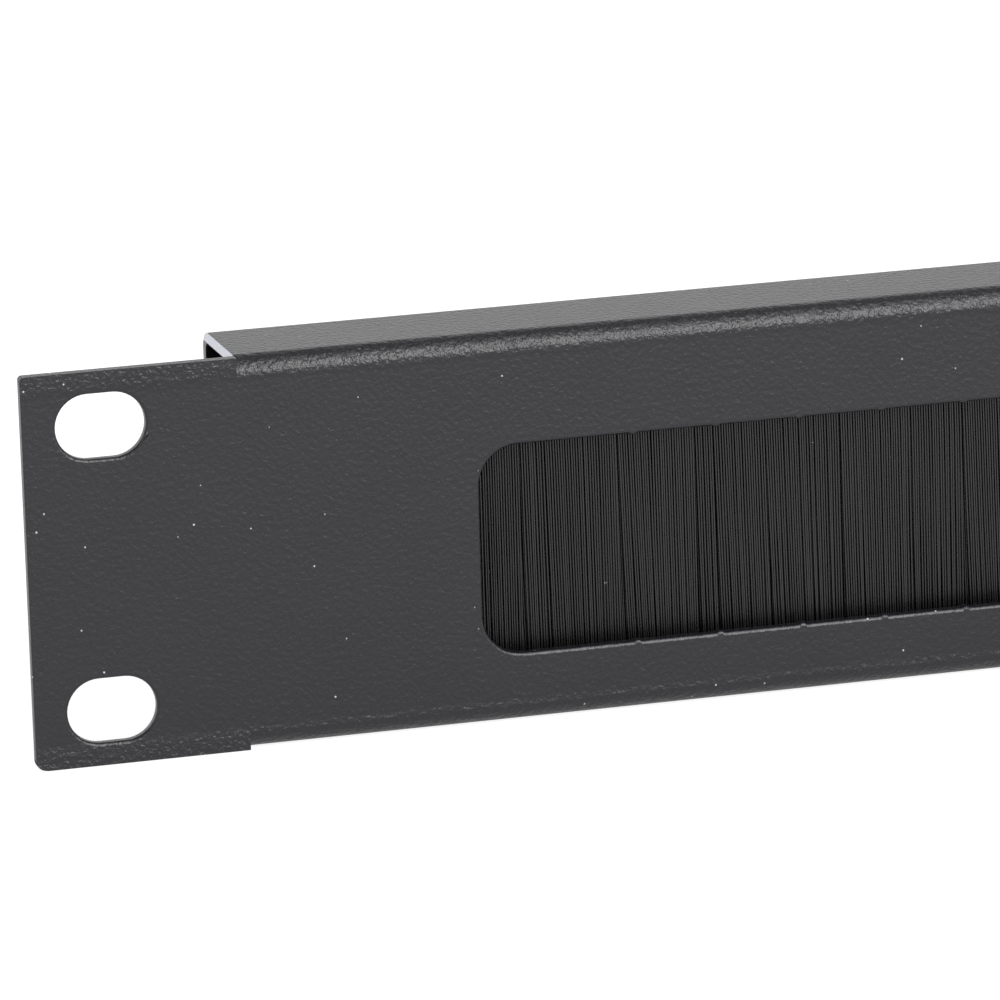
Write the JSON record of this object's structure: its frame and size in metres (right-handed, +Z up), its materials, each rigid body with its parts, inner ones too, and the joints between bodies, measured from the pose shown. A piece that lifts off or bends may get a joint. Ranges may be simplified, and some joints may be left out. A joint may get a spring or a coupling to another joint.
{
  "type": "rack brush strip panel",
  "caption": "Black folded-steel panel for a 19-inch rack with slotted ears and a long window closed by hanging brush bristles that let cables through.",
  "frame": {"origin": "middle of the four mounting slots, on the rear face of the ears, which lies against the rack's rails", "axes": "+X to the right along the panel as seen from the front, +Y from the front into the rack, +Z up"},
  "size_m": [0.4826, 0.0155, 0.044],
  "materials": {
    "powder_coat": "black powder coat, fine orange-peel texture, satin",
    "extruded_aluminium": "mill finish, extruded",
    "galvanised_strip": "galvanised, dull",
    "nylon_bristle": "black nylon filament, slight sheen",
    "coppered_steel": "copper-flashed steel, satin",
    "zinc_plate": "bright zinc plate"
  },
  "bodies": {
    "root": {"panel": "powder_coat", "brush_carrier": "extruded_aluminium", "brush_channel": "galvanised_strip", "core_wire": "galvanised_strip", "bristles": "nylon_bristle", "stud_1": "coppered_steel", "stud_2": "coppered_steel", "stud_3": "coppered_steel", "stud_4": "coppered_steel", "stud_5": "coppered_steel", "washer_1": "zinc_plate", "washer_2": "zinc_plate", "washer_3": "zinc_plate", "washer_4": "zinc_plate", "washer_5": "zinc_plate", "nut_1": "zinc_plate", "nut_2": "zinc_plate", "nut_3": "zinc_plate", "nut_4": "zinc_plate", "nut_5": "zinc_plate"}
  },
  "joints": []
}
